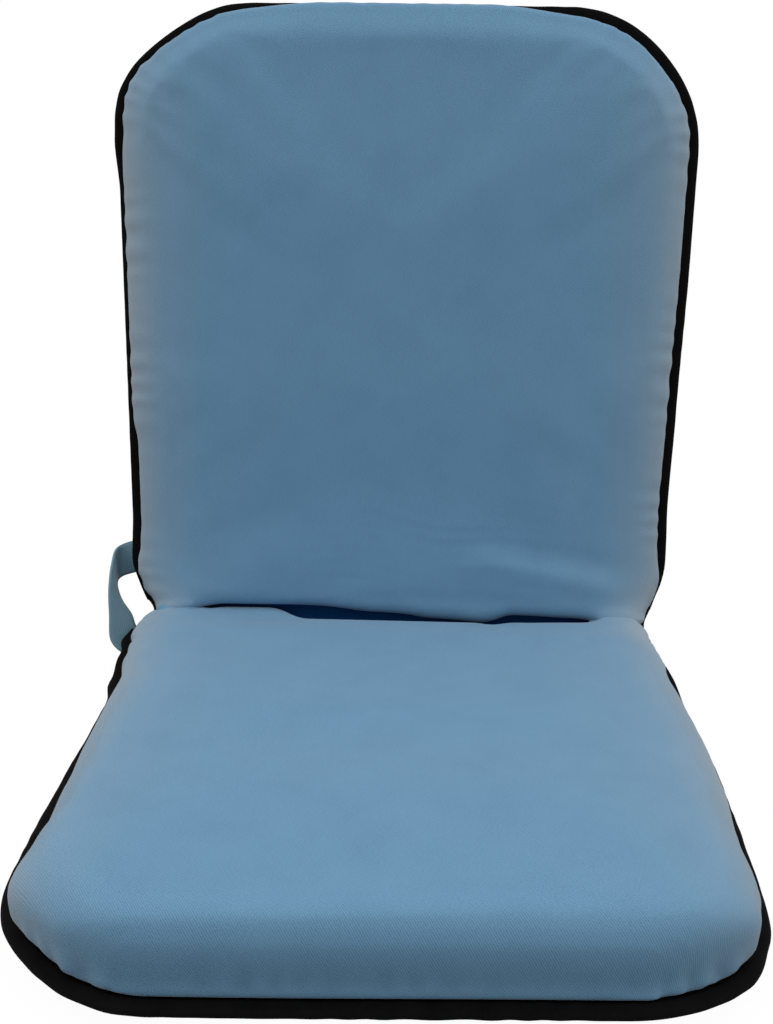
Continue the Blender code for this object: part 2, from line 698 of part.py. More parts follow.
def carry_strap():
    """Webbing looped past the left of the hinge, its ends under the back's and the seat's binding."""
    steps = 14
    back_end = strap_end(BACK, -1, STRAP_BACK_AT)
    seat_end = strap_end(SEAT, 1, STRAP_SEAT_AT)
    middle = len(STRAP_LINES) // 2
    back_along = (back_end[-1] - back_end[0]).normalized()
    seat_along = (seat_end[-1] - seat_end[0]).normalized()
    whole_turn = back_along.rotation_difference(seat_along)
    out = Vector((-STRAP_BULGE, 0, 0))
    inward = Vector((FLANGE_WIDTH - 0.002, 0, 0))

    def point(column, row):
        share = min(max((row - 1) / (steps - 2), 0), 1)
        start = back_end[middle]
        end = seat_end[middle]
        along = Quaternion().slerp(whole_turn, smooth_step(share)) @ back_along
        spot = bezier(start, start + out, end + out, end, share)
        spot += along * STRAP_WIDTH * STRAP_LINES[column]
        start_bend = back_end[column] - start - back_along * STRAP_WIDTH * STRAP_LINES[column]
        end_bend = seat_end[column] - end - seat_along * STRAP_WIDTH * STRAP_LINES[column]
        spot += start_bend * (1 - share) ** 2 + end_bend * share**2
        return spot + inward if row in (0, steps) else spot

    columns = len(STRAP_LINES)
    return sheet("carry_strap", columns, steps + 1, point, STRAP_THICKNESS, BLUE_WEBBING, HINGE_FRAME)


for old in list(bpy.data.objects):
    bpy.data.objects.remove(old)

CHAIR = collection("folding_lounge_chair")
CUTTERS = collection("cutters")
LEAN = math.radians(RECLINE)

SEAT = Panel("seat", SEAT_LENGTH, SEAT_WAIST_LENGTH)
BACK = Panel("back", BACK_LENGTH, BACK_WAIST_LENGTH)
SEAT.frame = frame_empty("seat_frame", HINGE_POINT, (0, 0, math.pi))
BACK.frame = frame_empty("back_frame", HINGE_POINT, (math.pi / 2 - LEAN, 0, 0))
HINGE_FRAME = frame_empty("hinge_frame", HINGE_POINT, (0, 0, 0))

cover(SEAT, "seat_top_cover", BLUE_CLOTH, front=True)
cover(SEAT, "seat_bottom_cover", BLACK_CLOTH, front=False)
cover(BACK, "back_front_cover", BLUE_CLOTH, front=True)
cover(BACK, "back_rear_cover", BLACK_CLOTH, front=False)
for padded in (SEAT, BACK):
    binding(padded)
    foam(padded)
    frame_tubes(padded)
for hand, place_u in (("left", -HINGE_X), ("right", HINGE_X)):
    hinge(hand, place_u)
    waist_binding(hand, math.copysign(1, place_u))
crease_web()
hinge_covers()
rear_web()
carry_strap()
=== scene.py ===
"""Dresses the folding floor lounge chair: its cushions, cloth, binding, webbing and hinges, in metres."""

import math

import bpy
import numpy as np
from mathutils import Euler, Matrix


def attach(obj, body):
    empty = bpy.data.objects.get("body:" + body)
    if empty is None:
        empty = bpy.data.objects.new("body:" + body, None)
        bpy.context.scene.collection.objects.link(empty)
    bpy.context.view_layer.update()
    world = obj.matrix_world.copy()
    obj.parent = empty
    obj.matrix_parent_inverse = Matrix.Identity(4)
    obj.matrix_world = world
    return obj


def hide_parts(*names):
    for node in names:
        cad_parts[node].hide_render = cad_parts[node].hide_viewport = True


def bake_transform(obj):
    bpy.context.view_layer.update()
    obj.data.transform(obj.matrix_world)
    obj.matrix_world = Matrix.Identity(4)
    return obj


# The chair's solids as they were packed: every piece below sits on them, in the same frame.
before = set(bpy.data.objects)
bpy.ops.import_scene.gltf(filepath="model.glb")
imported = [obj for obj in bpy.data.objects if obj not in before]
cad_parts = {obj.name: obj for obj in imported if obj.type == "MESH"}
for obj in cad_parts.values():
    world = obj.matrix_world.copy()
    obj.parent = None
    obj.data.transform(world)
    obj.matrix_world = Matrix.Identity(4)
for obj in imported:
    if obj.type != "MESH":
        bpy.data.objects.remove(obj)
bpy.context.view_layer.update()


# Frame tubes: two U-bent steel tubes with a cross tube each, powder-coated black before the covers go on.
# The coat is a little uneven, as sprayed powder is, and it stays inside the pads.
def node(tree, kind, feeds=None, **settings):
    """A shader node with its settings, its inputs set or fed from other nodes' outputs."""
    made = tree.nodes.new(kind)
    for name, value in settings.items():
        setattr(made, name, value)
    for name, source in (feeds or {}).items():
        if isinstance(source, bpy.types.NodeSocket):
            tree.links.new(source, made.inputs[name])
        else:
            made.inputs[name].default_value = source
    return made


def new_finish(name):
    """A material with its shader, ready for its nodes."""
    finish = bpy.data.materials.new(name)
    finish.use_nodes = True
    return finish, finish.node_tree, finish.node_tree.nodes["Principled BSDF"]


def two_tone(tree, level, low, dark, high, light):
    """A colour that runs from dark, where level is low, to light, where it is high."""
    tone = node(tree, "ShaderNodeValToRGB", {"Fac": level})
    for stop, at, colour in zip(tone.color_ramp.elements, (low, high), (dark, light)):
        stop.position = at
        stop.color = (*colour, 1)
    return tone.outputs["Color"]


def dress(tree, shader, colour, height, strength, depth):
    """Feeds a shader its colour, and its relief from a height."""
    relief = node(tree, "ShaderNodeBump", {"Height": height, "Strength": strength, "Distance": depth})
    tree.links.new(colour, shader.inputs["Base Color"])
    tree.links.new(relief.outputs["Normal"], shader.inputs["Normal"])


def coat(piece, finish):
    piece.data.materials.clear()
    piece.data.materials.append(finish)


powder_coat, tree, shader = new_finish("powder_coat_black")
place = node(tree, "ShaderNodeTexCoord")
grain = node(tree, "ShaderNodeTexNoise", {"Vector": place.outputs["Object"], "Scale": 900.0, "Detail": 3.0})
scuffs = node(tree, "ShaderNodeTexNoise", {"Vector": place.outputs["Object"], "Scale": 60.0, "Detail": 5.0})
tone = two_tone(tree, scuffs.outputs["Fac"], 0.35, (0.016, 0.016, 0.017), 0.75, (0.034, 0.034, 0.035))
dress(tree, shader, tone, grain.outputs["Fac"], 0.35, 0.0002)
shader.inputs["Roughness"].default_value = 0.48
for name in ("seat_frame_tube", "seat_cross_tube", "back_frame_tube", "back_cross_tube"):
    coat(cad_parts[name], powder_coat)


# Ratchet hinges: stamped plates, pins, pawls and leaf springs, zinc plated, riveted into the tube ends.
# The plating has a faint spangle and dulls in patches.
zinc, tree, shader = new_finish("zinc_plated_steel")
place = node(tree, "ShaderNodeTexCoord")
spangle = node(
    tree, "ShaderNodeTexVoronoi", {"Vector": place.outputs["Object"], "Scale": 420.0, "Randomness": 1.0}
)
dulling = node(
    tree, "ShaderNodeTexNoise", {"Vector": place.outputs["Object"], "Scale": 140.0, "Detail": 6.0}
)
dull = node(
    tree,
    "ShaderNodeMapRange",
    {"Value": dulling.outputs["Fac"], "From Min": 0.3, "From Max": 0.7, "To Min": 0.26, "To Max": 0.46},
)
tone = two_tone(tree, spangle.outputs["Color"], 0.0, (0.52, 0.52, 0.50), 1.0, (0.66, 0.65, 0.61))
dress(tree, shader, tone, dulling.outputs["Fac"], 0.2, 0.0001)
tree.links.new(dull.outputs["Result"], shader.inputs["Roughness"])
shader.inputs["Metallic"].default_value = 1.0
for name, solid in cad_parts.items():
    if any(word in name for word in ("ratchet", "cheek", "rivet", "pawl")):
        coat(solid, zinc)


# Seat cushion: a foam pad in sky-blue woven cloth, crowned, thinned towards the crease so that the chair
# folds flat, and drawn in at the waist beside the hinges. Its edge is gathered into the bound seam.
HINGE_Y = 0.200
HINGE_Z = 0.040
LEAN = math.radians(12.0)
SEAM_HALF_WIDTH = 0.204
SEAM_RADIUS = 0.087
SEAM_HALF = 0.0015
SEAM_HEIGHT = 0.016
SEAM_RISE = 0.020
BINDING_WIDTH = 0.011
WAIST_DRAW = 0.016
WAIST_HALF_WIDTH = 0.188
FOLD_HALF = math.radians(6.0)
PAD_THICKNESS = 0.056
PAD_UNDERSIDE = 0.0176
UNDERSIDE_ROUNDING = 0.016
CREASE_ROLL_FROM = 0.0385
SWELL_REACH = 0.0060
SWELL_STEPS = 20


def smooth(share):
    share = np.clip(share, 0, 1)
    return share * share * (3 - 2 * share)


def ridge(distance, width):
    """A soft ridge, 1 along its crest."""
    return np.exp(-((distance / width) ** 2))


def fuller(a, b, ease):
    """The higher of two surfaces, with a soft fillet where they meet."""
    return np.maximum(a, b) + np.maximum(ease - np.abs(a - b), 0) ** 2 / (4 * ease)


def run_of(place, spots):
    """A value that runs softly from spot to spot, each given as its place and its value."""
    places, values = np.array(spots).T
    step = np.clip(np.searchsorted(places, place) - 1, 0, len(places) - 2)
    share = smooth((place - places[step]) / (places[step + 1] - places[step]))
    return values[step] + (values[step + 1] - values[step]) * share


def over_hinge(u):
    """1 where a hinge lies under the cloth at the crease's ends, 0 along the crease between them."""
    return smooth((np.abs(u) - 0.138) / 0.028)


def hinge_hump(u):
    """How far the cloth stands off the hinge axis over a hinge, closing down towards the waist's tape."""
    closing = np.clip((np.abs(u) - 0.1800) / 0.0125, 0, 1)
    return 0.0163 * over_hinge(u) * np.sqrt(1 - 0.94 * closing**2)


class PadForm:
    """One panel's form in its own frame: u across, v from the hinge axis, w up from its outer face."""

    def __init__(self, length, waist_length, side, far_side, far_wall, far_rise):
        self.length = length - BINDING_WIDTH
        self.waist_length = waist_length
        self.side = side
        self.far_side = far_side
        self.far_wall = far_wall
        self.far_rise = far_rise

    def far(self, v):
        return smooth((v - self.length + 0.075) / 0.065)

    def waist(self, v):
        return smooth(1 - v / self.waist_length)

    def half_width(self, v):
        return SEAM_HALF_WIDTH - WAIST_DRAW * self.waist(v)

    def seam(self, v):
        return SEAM_HEIGHT + SEAM_RISE * self.waist(v)

    def inside(self, u, v):
        """How far a point lies inside the seam line."""
        across = SEAM_RADIUS - (self.half_width(v) - np.abs(u))
        far = SEAM_RADIUS - (self.length - v)
        corner = np.hypot(np.maximum(across, 0), np.maximum(far, 0))
        return SEAM_RADIUS - corner - np.minimum(np.maximum(across, far), 0)

    def outward(self, u, v):
        """The direction in plan straight out from the pad."""
        step = 0.0004
        du = self.inside(u - step, v) - self.inside(u + step, v)
        dv = self.inside(u, v - step) - self.inside(u, v + step)
        size = np.maximum(np.hypot(du, dv), 1e-9)
        return du / size, dv / size

    def along(self, u, v):
        """Length round the seam, counted from the hinge, a different stretch for each hand."""
        across = np.maximum(SEAM_RADIUS - (self.half_width(v) - np.abs(u)), 0)
        far = np.maximum(SEAM_RADIUS - (self.length - v), 0)
        turned = np.arctan2(far, np.maximum(across, 1e-6))
        straight = np.minimum(v, self.length - SEAM_RADIUS)
        end = np.where(far > 0, np.maximum(SEAM_HALF_WIDTH - SEAM_RADIUS - np.abs(u), 0), 0)
        return straight + SEAM_RADIUS * turned + end + np.where(u < 0, 3.17, 0)

    def full_height(self, v):
        """The pad's height at v: folded pads meet along a wedge, and press on each other at the crease."""
        wedge = HINGE_Z + np.maximum(v, 0) * math.tan(FOLD_HALF) - 0.0006
        fullness = fuller(wedge, 0.0500 + 0 * v, 0.006)
        most = PAD_THICKNESS + self.far_rise * smooth((v - 0.18) / 0.15)
        return -fuller(-fullness, -most, 0.004)

    def foot(self, v):
        return self.seam(v) + SEAM_HALF

    def rounding(self, v):
        side = self.side + (self.far_side - self.side) * self.far(v)
        return side - (side - 0.020) * self.waist(v)

    def top(self, u, v):
        share = np.clip(self.inside(u, v) / self.rounding(v), 0, 1)
        wall = 0.15 + (self.far_wall - 0.15) * self.far(v)
        wall = wall * (1 - self.waist(v))
        rise = wall + (1 - wall) * np.sqrt(1 - (1 - share) ** 2)
        plain = self.foot(v) + (self.full_height(v) - self.foot(v)) * rise
        hinge = np.sqrt(np.maximum(hinge_hump(u) ** 2 - np.maximum(v, 0) ** 2, 0))
        return fuller(plain, HINGE_Z + hinge, 0.008)

    def underside(self, u, v):
        share = np.clip(self.inside(u, v) / UNDERSIDE_ROUNDING, 0, 1)
        rise = 1 - np.sqrt(np.maximum(1 - (1 - share) ** 2, 0))
        return (self.seam(v) - SEAM_HALF) * rise

    def half_plan(self, v, out=0.0):
        """Half the width at v of the outline that runs out from the seam."""
        reach = np.clip(v - (self.length - SEAM_RADIUS), 0, SEAM_RADIUS + out)
        radius = SEAM_RADIUS + out
        return self.half_width(v) + out - radius + np.sqrt(np.maximum(radius**2 - reach**2, 0))


SEAT_LEFT_EDGE = [
    (-0.01, -0.0035), (0.001, -0.0030), (0.012, 0.0085), (0.028, 0.0110), (0.042, 0.0058),
    (0.068, 0.0005), (0.100, -0.0052), (0.140, -0.0042), (0.200, -0.0018), (0.260, 0.0),
    (0.335, 0.0), (0.371, -0.0030), (0.410, -0.0040),
]
SEAT_RIGHT_EDGE = [
    (-0.01, 0.0), (0.008, 0.0), (0.030, -0.0025), (0.050, 0.0005), (0.085, -0.0018), (0.125, 0.0),
    (0.180, 0.0013), (0.230, 0.0), (0.280, -0.0018), (0.310, -0.0034), (0.340, -0.0012),
    (0.371, 0.0050), (0.410, 0.0060),
]


def near_edge(u):
    """0 in the middle of a panel, 1 along its sides, where its cover is sewn unevenly."""
    return smooth((np.abs(u) - 0.10) / 0.09)


def seat_place(points):
    """Points of the seat's frame in the chair's. The cover is sewn a little unevenly along its edge."""
    u, v, w = np.asarray(points, float).T
    corner = 1 - 0.85 * smooth((-u - 0.12) / 0.08)
    askew = 0.0052 * smooth((v - 0.10) / 0.28) * smooth((0.17 - u) / 0.30) * corner
    edge = np.where(u < 0, -run_of(v, SEAT_LEFT_EDGE), run_of(v, SEAT_RIGHT_EDGE))
    return np.stack([u + edge * near_edge(u), HINGE_Y - v - askew, w], axis=1)


def points_of(piece):
    points = np.empty(len(piece.data.vertices) * 3, np.float32)
    piece.data.vertices.foreach_get("co", points)
    return points.reshape(-1, 3).astype(float)


def normals_of(piece):
    normals = np.empty(len(piece.data.vertices) * 3, np.float32)
    piece.data.vertex_normals.foreach_get("vector", normals)
    return normals.reshape(-1, 3).astype(float)


def set_points(piece, points):
    piece.data.vertices.foreach_set("co", np.asarray(points, np.float32).ravel())
    piece.data.update()


def set_flat(piece, flat):
    """Lays the piece's cloth flat, in metres, as its UV map."""
    layer = piece.data.uv_layers.active or piece.data.uv_layers.new(name="flat")
    corners = np.empty(len(piece.data.loops), np.int32)
    piece.data.loops.foreach_get("vertex_index", corners)
    layer.data.foreach_set("uv", np.asarray(flat, np.float32)[corners].ravel())


def new_grid(name, columns, rows):
    """A grid to be shaped, with each point's place across, -1 to 1, and along, 0 to 1."""
    bpy.ops.object.select_all(action="DESELECT")
    bpy.ops.mesh.primitive_grid_add(x_subdivisions=columns, y_subdivisions=rows, size=2)
    piece = bpy.context.object
    piece.name = name
    piece.data.name = name
    points = points_of(piece)
    return piece, points[:, 0], (points[:, 1] + 1) / 2


def apply(piece, kind, **settings):
    """Adds a modifier and applies it."""
    bpy.ops.object.select_all(action="DESELECT")
    piece.select_set(True)
    bpy.context.view_layer.objects.active = piece
    changed = piece.modifiers.new(kind.lower(), kind)
    for name, value in settings.items():
        setattr(changed, name, value)
    bpy.ops.object.modifier_apply(modifier=changed.name)


def smooth_faces(piece):
    piece.data.polygons.foreach_set("use_smooth", np.ones(len(piece.data.polygons), bool))
    piece.data.update()


def gathers(length):
    """Uneven small gathers along a sewn edge, about -1 to 1."""
    drift = 1.3 * np.sin(length / 0.0113 + 0.7) + 0.9 * np.sin(length / 0.0291)
    fine = np.sin(2 * np.pi * length / 0.0165 + drift)
    slow = 0.55 + 0.45 * np.sin(length / 0.0207 + 1.1 * np.sin(length / 0.053))
    return fine * slow


def stuffed_pad(name, form, hinge_end, overhang):
    """A pad's cloth round its foam, in the panel's frame: gridded, closed, remeshed evenly and puffed."""
    piece, across, along = new_grid(name, 110, 110)
    u = np.sin(across * np.pi / 2)
    share = (1 - np.cos(np.pi * along)) / 2
    start = hinge_end(u * WAIST_HALF_WIDTH)
    v = start + (form.length - start) * share
    rounded = np.clip((v - start) / (0.0095 - 0.005 * over_hinge(u * WAIST_HALF_WIDTH)), 0, 1)
    turn = np.sqrt(1 - (1 - rounded) ** 2)
    u = u * (form.half_plan(v) - 0.004 * (1 - turn))
    top = form.top(u, v)
    top = np.minimum(top, CREASE_ROLL_FROM) + np.maximum(top - CREASE_ROLL_FROM, 0) * turn
    set_points(piece, np.stack([u, v, top], axis=1))
    bpy.ops.object.mode_set(mode="EDIT")
    bpy.ops.mesh.select_all(action="SELECT")
    bpy.ops.mesh.extrude_region_move()
    bpy.ops.object.mode_set(mode="OBJECT")
    chosen = np.empty(len(piece.data.vertices), bool)
    piece.data.vertices.foreach_get("select", chosen)
    points = points_of(piece)
    u, v, w = points[chosen].T
    base = np.maximum(PAD_UNDERSIDE, form.underside(u, v) + 0.0024)
    hollow = over_hinge(u) * smooth((0.052 - v) / 0.010) * smooth((form.inside(u, v) - 0.008) / 0.006)
    base = np.maximum(base, PAD_UNDERSIDE + 0.0170 * hollow)
    base = np.maximum(base, 0.0262 * over_hinge(u) * smooth((0.030 - v) / 0.008))
    points[chosen, 2] = np.minimum(base, w - 0.0006)
    set_points(piece, points)
    bpy.ops.object.mode_set(mode="EDIT")
    bpy.ops.mesh.select_all(action="SELECT")
    bpy.ops.mesh.remove_doubles(threshold=0.00001)
    bpy.ops.mesh.normals_make_consistent(inside=False)
    bpy.ops.object.mode_set(mode="OBJECT")
    apply(piece, "REMESH", mode="VOXEL", voxel_size=0.0042, use_smooth_shade=True)
    apply(piece, "SMOOTH", factor=0.5, iterations=2)
    swell(piece, form)
    points = points_of(piece)
    u, v, w = points.T
    facing = smooth((normals_of(piece)[:, 2] + 0.5) / 0.6)
    height = np.clip((w - form.foot(v)) / (form.full_height(v) - form.foot(v)), 0, 1)
    out_u, out_v = form.outward(u, v)
    near = smooth((form.side - form.inside(u, v)) / 0.020)
    swelling = overhang(u, v)
    shoulder = np.where(swelling > 0, 1 - smooth((height - 0.62) / 0.38), 1)
    push = swelling * smooth(height / 0.14) * shoulder * near * facing
    set_points(piece, np.stack([u + out_u * push, v + out_v * push, w], axis=1))
    return piece


def swell(piece, form):
    """Lets the cloth swell a little round its foam, held along its seam, its foot and the crease."""
    points = points_of(piece)
    u, v, w = points.T
    loose = smooth((form.inside(u, v) - 0.016) / 0.040) * smooth((w - 0.022) / 0.012)
    loose = loose * smooth((v - 0.016) / 0.040)
    free = piece.vertex_groups.new(name="free")
    for number in np.flatnonzero(loose > 0.02):
        free.add([int(number)], float(loose[number]), "REPLACE")
    drawn_in = points - normals_of(piece) * (0.0030 * loose)[:, None]
    set_points(piece, drawn_in)
    held = piece.vertex_groups.new(name="held")
    held.add([int(number) for number in np.flatnonzero(loose < 0.02)], 1.0, "REPLACE")
    bpy.ops.object.select_all(action="DESELECT")
    piece.select_set(True)
    bpy.context.view_layer.objects.active = piece
    cloth = piece.modifiers.new("cloth", "CLOTH")
    cloth.settings.quality = 6
    cloth.settings.mass = 0.3
    cloth.settings.tension_stiffness = 40.0
    cloth.settings.compression_stiffness = 40.0
    cloth.settings.bending_stiffness = 2.0
    cloth.settings.use_pressure = True
    cloth.settings.uniform_pressure_force = 2.5
    cloth.settings.vertex_group_mass = "held"
    cloth.settings.effector_weights.gravity = 0.0
    cloth.point_cache.frame_end = SWELL_STEPS
    for step in range(1, SWELL_STEPS + 1):
        bpy.context.scene.frame_set(step)
    bpy.ops.object.modifier_apply(modifier="cloth")
    bpy.context.scene.frame_set(1)
    moved = points_of(piece) - drawn_in
    distance = np.maximum(np.linalg.norm(moved, axis=1), 1e-9)
    set_points(piece, drawn_in + moved * (np.minimum(distance, SWELL_REACH) / distance)[:, None])
    apply(piece, "SMOOTH", factor=0.5, iterations=18, vertex_group="free")
    piece.vertex_groups.clear()


def flat_of_pad(form, points):
    """Where each point of a pad lies on the flat cloth: its plan, with the rounded side unrolled."""
    u, v, w = points.T
    height = np.clip((w - form.foot(v)) / np.maximum(form.full_height(v) - form.foot(v), 0.001), 0, 1)
    inside = form.inside(u, v)
    angle = np.arctan2(height, np.clip(1 - inside / form.side, 0, 1) + 1e-9)
    steps = np.linspace(0, np.pi / 2, 91)
    stride = np.hypot(0.038 * np.cos(steps), form.side * np.sin(steps))
    arc = np.concatenate([[0], np.cumsum((stride[1:] + stride[:-1]) / 2) * (steps[1] - steps[0])])
    to_top = arc[-1] - np.interp(angle, steps, arc)
    extra = np.where(inside < form.side, to_top - (form.side - inside), 0)
    extra = extra * (1 - form.waist(v)) ** 2
    out_u, out_v = form.outward(u, v)
    return np.stack([u + out_u * extra, v + out_v * extra], axis=1)


def finish_pad(piece, form, place, finish):
    """Subdivides a shaped pad, lays its weave, marks the sides' painted sheen, sets it where its panel is.
    """
    apply(piece, "SUBSURF", levels=1, render_levels=1)
    points = points_of(piece)
    # Painted sheen: how near each point lies to the pad's side, where the cloth turns away and its colour
    # is mixed paler.
    rim = np.exp(-np.maximum(form.half_width(points[:, 1]) - np.abs(points[:, 0]), 0) / 0.021)
    piece.data.attributes.new("rim", "FLOAT", "POINT").data.foreach_set("value", rim.astype(np.float32))
    set_flat(piece, flat_of_pad(form, points))
    set_points(piece, place(points))
    if place is seat_place:
        piece.data.flip_normals()
    smooth_faces(piece)
    coat(piece, finish)


def woven_finish(name, dark, light, sheen_veil, fuzz):
    """Twill: fine diagonal ribs of mixed yarn with a soft nap, and painted sheen: paler along the pads'
    sides.
    """
    finish, tree, shader = new_finish(name)
    flat = node(tree, "ShaderNodeTexCoord").outputs["UV"]
    turned = node(tree, "ShaderNodeMapping", {"Vector": flat, "Rotation": (0, 0, math.radians(38))})
    rib = node(
        tree,
        "ShaderNodeTexWave",
        {
            "Vector": turned.outputs["Vector"],
            "Scale": 285.0,
            "Distortion": 2.2,
            "Detail": 2.0,
            "Detail Scale": 1.2,
        },
    )
    yarn_place = node(tree, "ShaderNodeMapping", {"Vector": flat, "Scale": (1.0, 4.5, 1.0)})
    yarn = node(
        tree,
        "ShaderNodeTexNoise",
        {"Vector": yarn_place.outputs["Vector"], "Scale": 620.0, "Detail": 3.0, "Roughness": 0.65},
    )
    cloud = node(
        tree, "ShaderNodeTexNoise", {"Vector": flat, "Scale": 26.0, "Detail": 4.0, "Roughness": 0.6}
    )
    mixed = node(
        tree,
        "ShaderNodeMath",
        {0: rib.outputs["Fac"], 1: 0.45, 2: yarn.outputs["Fac"]},
        operation="MULTIPLY_ADD",
    )
    rim = node(tree, "ShaderNodeAttribute", attribute_name="rim")
    clouded = node(
        tree,
        "ShaderNodeMath",
        {0: cloud.outputs["Fac"], 1: 0.35, 2: mixed.outputs["Value"]},
        operation="MULTIPLY_ADD",
    )
    tone = two_tone(tree, clouded.outputs["Value"], 0.50, dark, 1.25 / 1.35, light)
    # Painted sheen: the colour runs to a pale warm grey along the pads' sides, following the rim mark.
    paler = node(tree, "ShaderNodeMath", {0: rim.outputs["Fac"], 1: 0.66}, operation="MULTIPLY")
    painted_sheen = node(tree, "ShaderNodeMix", data_type="RGBA")
    tree.links.new(paler.outputs["Value"], painted_sheen.inputs["Factor"])
    tree.links.new(tone, painted_sheen.inputs["A"])
    painted_sheen.inputs["B"].default_value = (*sheen_veil, 1)
    dress(tree, shader, painted_sheen.outputs["Result"], mixed.outputs["Value"], 0.55, 0.00035)
    shader.inputs["Roughness"].default_value = 0.92
    shader.inputs["Specular IOR Level"].default_value = 0.25
    shader.inputs["Sheen Weight"].default_value = fuzz
    shader.inputs["Sheen Roughness"].default_value = 0.35
    shader.inputs["Sheen Tint"].default_value = (1.0, 0.84, 0.64, 1)
    return finish


def seat_hinge_end(u):
    """Where the seat pad ends at the crease: under the back at left, drawn away from it in the middle."""
    spots = [
        (-0.200, 0.0050), (-0.166, 0.0050), (-0.140, -0.0085), (-0.100, -0.0090), (-0.070, 0.0110),
        (0.060, 0.0120), (0.074, 0.0150), (0.090, 0.0105), (0.145, 0.0085), (0.168, 0.0045),
        (0.200, 0.0045),
    ]
    return run_of(u, spots)


def seat_overhang(u, v):
    """How far the pad's side swells out over the binding, or is drawn in from it, as it is on the left."""
    left = [
        (0.0, 0.0060), (0.012, 0.0045), (0.045, 0.0), (0.068, -0.0014), (0.097, -0.0010),
        (0.140, -0.0008), (0.200, -0.0028), (0.240, -0.0052), (0.285, -0.0068), (0.312, -0.0040),
        (0.347, 0.0055), (0.375, 0.0020), (0.392, -0.0020),
    ]
    right = [
        (0.0, 0.0070), (0.028, 0.0085), (0.055, 0.0010), (0.075, -0.0015), (0.110, -0.0005),
        (0.230, 0.0015), (0.290, -0.0015), (0.315, 0.0005), (0.355, 0.0030), (0.392, -0.0025),
    ]
    on_left = run_of(v, left)
    return on_left + (run_of(v, right) - on_left) * smooth((u + 0.12) / 0.24)


# Its third colour is the painted sheen's pale warm grey for the pads' sides.
blue_cloth = woven_finish(
    "sky_blue_twill", (0.080, 0.200, 0.345), (0.158, 0.330, 0.505), (0.37, 0.41, 0.44), 0.25
)
FULL_SEAT = PadForm(0.4035, 0.080, 0.032, 0.0225, 0.52, 0.0110)
seat_pad = stuffed_pad("seat_cushion", FULL_SEAT, seat_hinge_end, seat_overhang)
points = points_of(seat_pad)
normals = normals_of(seat_pad)
u, v, w = points.T
inside = FULL_SEAT.inside(u, v)
rim = np.exp(-((inside / 0.015) ** 2) - ((w - FULL_SEAT.foot(v)) / 0.013) ** 2) * (normals[:, 2] > -0.4)
lift = (0.0010 + 0.0012 * smooth((v - 0.26) / 0.06)) * gathers(FULL_SEAT.along(u, v)) * rim
tuck = smooth((0.040 - v) / 0.012) * smooth((-u - 0.10) / 0.05) * smooth((normals[:, 2] + 0.2) / 0.4)
lift = lift - 0.0024 * tuck * ridge(inside - 0.0075, 0.0036)
set_points(seat_pad, points + normals * lift[:, None])
finish_pad(seat_pad, FULL_SEAT, seat_place, blue_cloth)
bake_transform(seat_pad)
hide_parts("seat_top_cover", "seat_foam")


# Back cushion: the same pad and cloth as the seat's, longer, leaning back on the back's frame tube.
# Its lower end is drawn in to the hinges, and the cloth is slack above the crease.
BACK_LEFT_EDGE = [
    (-0.01, -0.0045), (0.004, -0.0040), (0.022, -0.0010), (0.040, 0.0), (0.080, -0.0018),
    (0.320, -0.0018), (0.355, 0.0008), (0.390, 0.0040), (0.460, 0.0),
]
BACK_RIGHT_EDGE = [
    (-0.01, 0.0), (0.050, 0.0), (0.095, -0.0015), (0.165, -0.0004), (0.280, 0.0014),
    (0.390, 0.0016), (0.460, 0.0),
]


def back_place(points):
    """Points of the back's frame in the chair's. Its top corners hang a little unevenly."""
    u, v, w = np.asarray(points, float).T
    edge = np.where(u < 0, -run_of(v, BACK_LEFT_EDGE), run_of(v, BACK_RIGHT_EDGE))
    u = u + edge * near_edge(u)
    drop = 0.0048 * ridge(u + 0.170, 0.033) + 0.0028 * ridge(u - 0.195, 0.030)
    v = v - drop * smooth((v - 0.35) / 0.07)
    rise = w - HINGE_Z
    y = HINGE_Y + v * math.sin(LEAN) - rise * math.cos(LEAN)
    z = HINGE_Z + v * math.cos(LEAN) + rise * math.sin(LEAN)
    return np.stack([u, y, z], axis=1)


def back_hinge_end(u):
    """Where the back pad ends at the crease: it sags on to the seat right of the middle."""
    spots = [
        (-0.200, 0.0035), (-0.178, 0.0062), (-0.135, 0.0112), (-0.075, 0.0115), (-0.008, 0.0064),
        (0.035, 0.0022), (0.070, -0.0004), (0.092, 0.0062), (0.145, 0.0045), (0.168, 0.0015),
        (0.200, 0.0010),
    ]
    return run_of(u, spots)


def back_overhang(u, v):
    """How far the pad's side swells out over the binding: more at the top's middle than at the sides."""
    left = [
        (0.0, 0.0060), (0.020, 0.0060), (0.060, 0.0), (0.130, 0.0), (0.165, 0.0036), (0.325, 0.0036),
        (0.360, 0.0), (0.380, 0.0002), (0.398, 0.0009), (0.420, 0.0009), (0.450, 0.0004),
    ]
    right = [
        (0.0, 0.0075), (0.020, 0.0075), (0.060, 0.0), (0.370, 0.0), (0.410, -0.0018),
        (0.450, -0.0012),
    ]
    on_left = run_of(v, left)
    sides = on_left + (run_of(v, right) - on_left) * smooth((u + 0.10) / 0.20)
    return sides + (0.0070 - sides) * smooth((v - 0.36) / 0.06) * smooth((0.145 - np.abs(u)) / 0.09)


